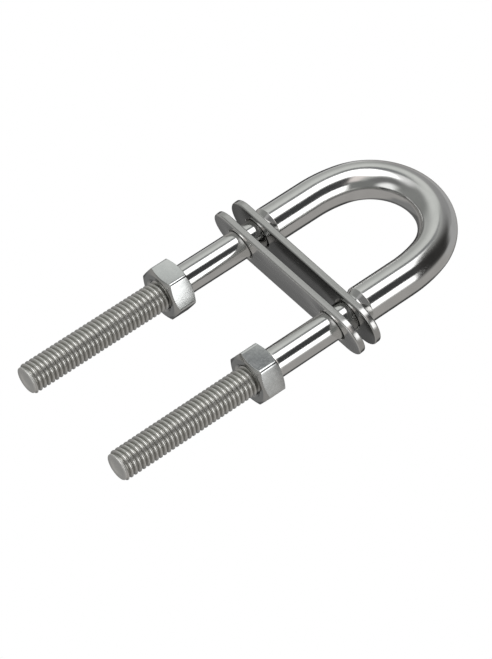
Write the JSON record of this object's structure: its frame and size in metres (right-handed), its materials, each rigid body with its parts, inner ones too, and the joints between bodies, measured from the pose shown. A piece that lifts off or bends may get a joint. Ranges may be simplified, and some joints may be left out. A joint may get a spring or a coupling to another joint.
{
  "type": "bow eye",
  "caption": "Bow-eye pad eye: a bent stainless bar with two threaded legs, a deck plate, a backing plate and hexagon nuts.",
  "frame": {"origin": "on the deck plate's underside, midway between the two legs", "axes": "+Z out of the deck through the eye, legs down -Z, X from leg to leg, Y across the plates"},
  "size_m": [0.0556, 0.0134, 0.116],
  "materials": {
    "bar_steel": "polished stainless steel",
    "plate_steel": "fine satin stainless steel",
    "nut_steel": "satin stainless steel"
  },
  "bodies": {
    "bar": {"u_bolt": "bar_steel"},
    "deck_plate": {"deck_plate": "plate_steel"},
    "backing_plate": {"backing_plate": "plate_steel"},
    "nut_right": {"nut_right": "nut_steel"},
    "nut_left": {"nut_left": "nut_steel"}
  },
  "joints": [
    {"name": "deck_plate_slide", "type": "slide", "parent": "bar", "child": "deck_plate", "axis": [0, 0, 1], "range_m": [-0.001, 0]},
    {"name": "backing_plate_slide", "type": "slide", "parent": "bar", "child": "backing_plate", "axis": [0, 0, 1], "range_m": [-0.0175, 0.0014]},
    {"name": "nut_right_slide", "type": "slide", "parent": "bar", "child": "nut_right", "axis": [0, 0, 1], "range_m": [-0.03875, 0]},
    {"name": "nut_left_slide", "type": "slide", "parent": "bar", "child": "nut_left", "axis": [0, 0, 1], "range_m": [-0.04, 0]}
  ]
}
